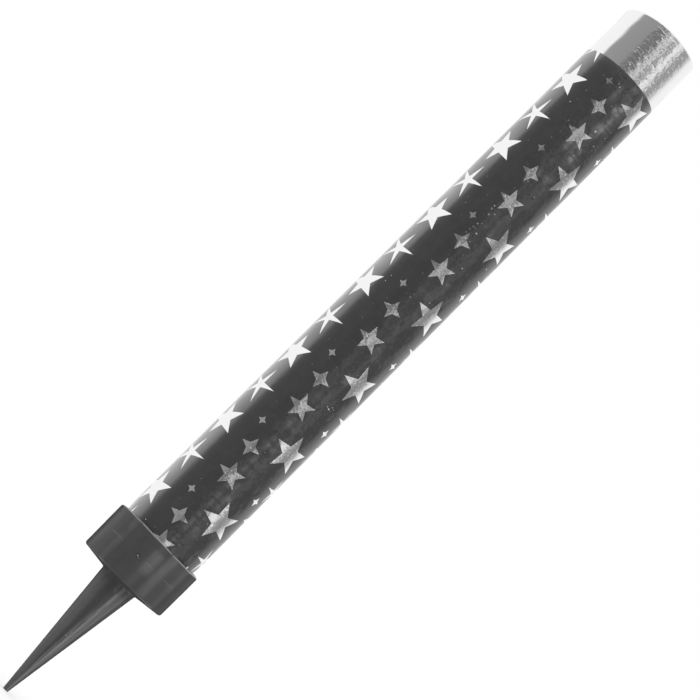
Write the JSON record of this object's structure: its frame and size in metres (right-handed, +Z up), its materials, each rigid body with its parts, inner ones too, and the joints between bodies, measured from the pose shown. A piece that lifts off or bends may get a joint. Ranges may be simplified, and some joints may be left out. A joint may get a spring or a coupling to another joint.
{
  "type": "cake fountain",
  "caption": "Indoor cake sparkler: a paper tube in silver foil and a star-printed black film, pushed into the cup of a tapering black plastic spike that stands in a cake.",
  "frame": {"origin": "on the axis at the foot of the holder's cup, where the spike ends and the holder sits on the cake", "axes": "+Z up along the tube towards its mouth; the spike points along -Z; the fuse leans towards +X"},
  "size_m": [0.0172, 0.0172, 0.153],
  "materials": {
    "black_plastic": "satin",
    "tube_paper": "matte",
    "silver_foil": "gloss",
    "black_film": "gloss",
    "dry_clay": "matte",
    "pressed_charge": "matte",
    "first_fire": "matte",
    "grey_card": "matte",
    "green_cord": "matte"
  },
  "bodies": {
    "holder": {"spike_holder": "black_plastic"},
    "fountain": {"paper_tube": "tube_paper", "foil_jacket": "silver_foil", "star_film": "black_film", "clay_plug": "dry_clay", "fountain_charge": "pressed_charge", "priming_layer": "first_fire", "card_disc": "grey_card", "fuse": "green_cord"}
  },
  "joints": [
    {"name": "tube_pull", "type": "slide", "parent": "holder", "child": "fountain", "axis": [0, 0, 1], "range_m": [0, 0.012]}
  ]
}
